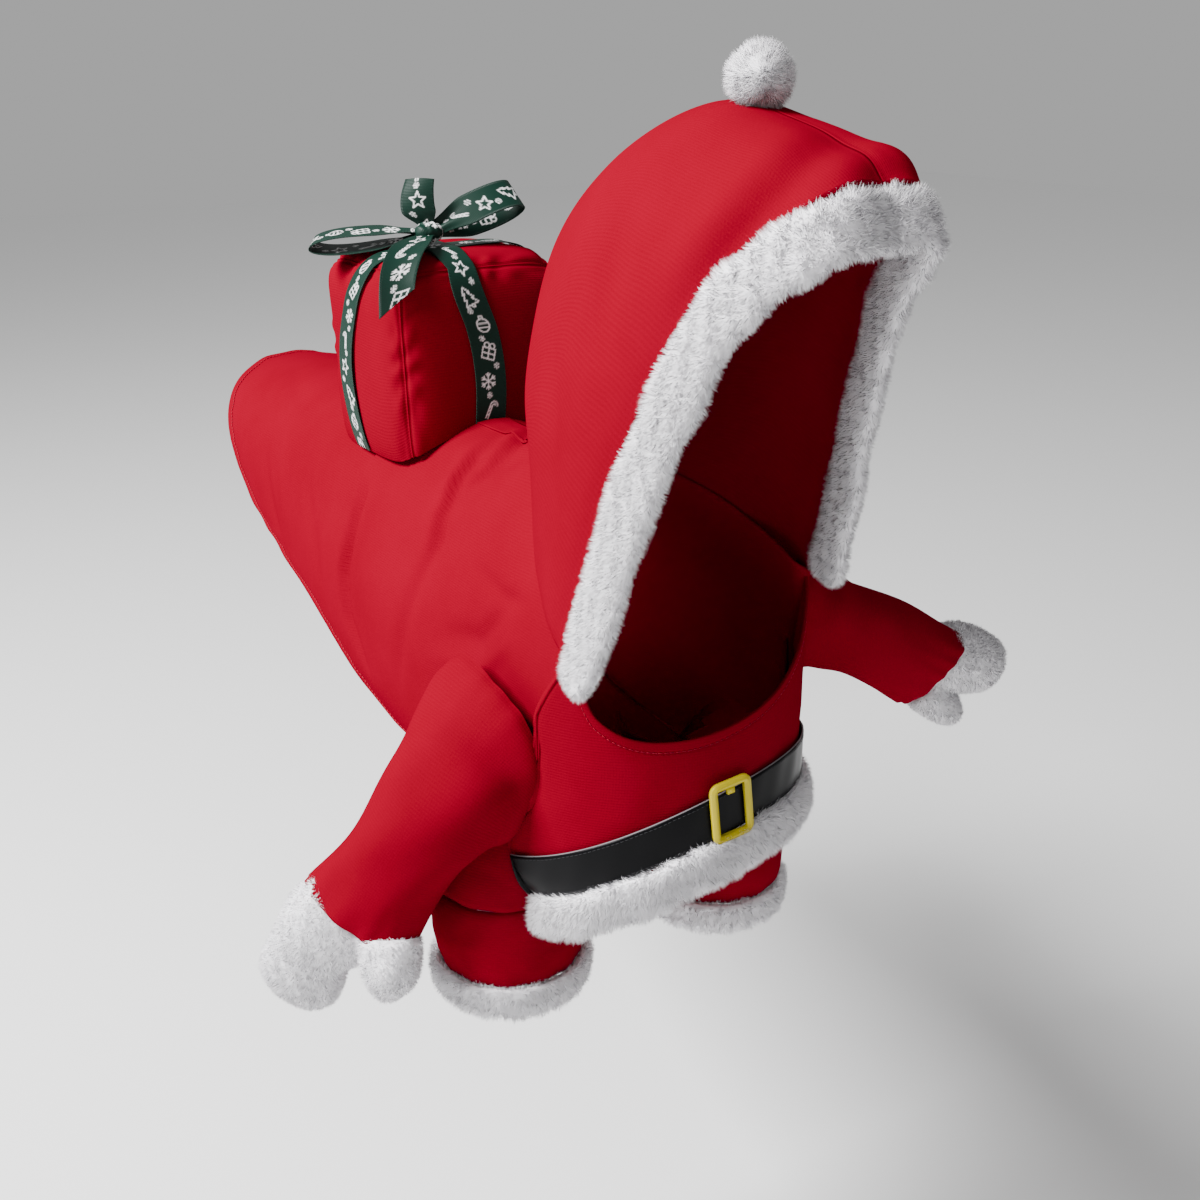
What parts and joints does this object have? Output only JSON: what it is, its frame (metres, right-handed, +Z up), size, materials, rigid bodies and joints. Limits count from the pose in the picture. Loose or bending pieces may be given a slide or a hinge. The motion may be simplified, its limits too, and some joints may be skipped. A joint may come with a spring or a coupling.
{
  "type": "dog gift costume",
  "caption": "Red hooded dog costume with white plush trim, stuffed side arms, belt with buckle, short leg sleeves and a padded gift box on the back, worn and hollow.",
  "frame": {"origin": "inside of the coat at the withers, where the wearer's back carries it", "axes": "+X to the wearer's left, +Y along the back to the tail, +Z up"},
  "size_m": [0.5035, 0.8162, 0.6252],
  "materials": {
    "red_knit": "brushed fine knit, matt with a soft nap",
    "white_plush": "short dense plush pile",
    "black_belt": "semi-gloss coated cloth",
    "yellow_plastic": "moulded gloss",
    "green_ribbon": "satin ribbon with a small white print"
  },
  "bodies": {
    "root": {"coat_back": "red_knit", "chest_panel": "red_knit", "belly_panel": "red_knit", "hem_band": "white_plush", "belt": "black_belt", "buckle": "yellow_plastic", "leg_sleeve_right": "red_knit", "leg_band_right": "red_knit", "leg_cuff_right": "white_plush", "leg_sleeve_left": "red_knit", "leg_band_left": "red_knit", "leg_cuff_left": "white_plush", "hood_right": "red_knit", "hood_left": "red_knit", "hood_band": "white_plush", "pompom": "white_plush", "arm_right": "red_knit", "mitten_right": "white_plush", "arm_left": "red_knit", "mitten_left": "white_plush", "box_front": "red_knit", "box_back": "red_knit", "box_left": "red_knit", "box_right": "red_knit", "box_top": "red_knit", "box_base": "red_knit", "ribbon_cross": "green_ribbon", "ribbon_length": "green_ribbon", "bow_knot": "green_ribbon", "bow_loop_right": "green_ribbon", "bow_loop_left": "green_ribbon", "bow_tail_up": "green_ribbon", "bow_tail_down": "green_ribbon"}
  },
  "joints": []
}
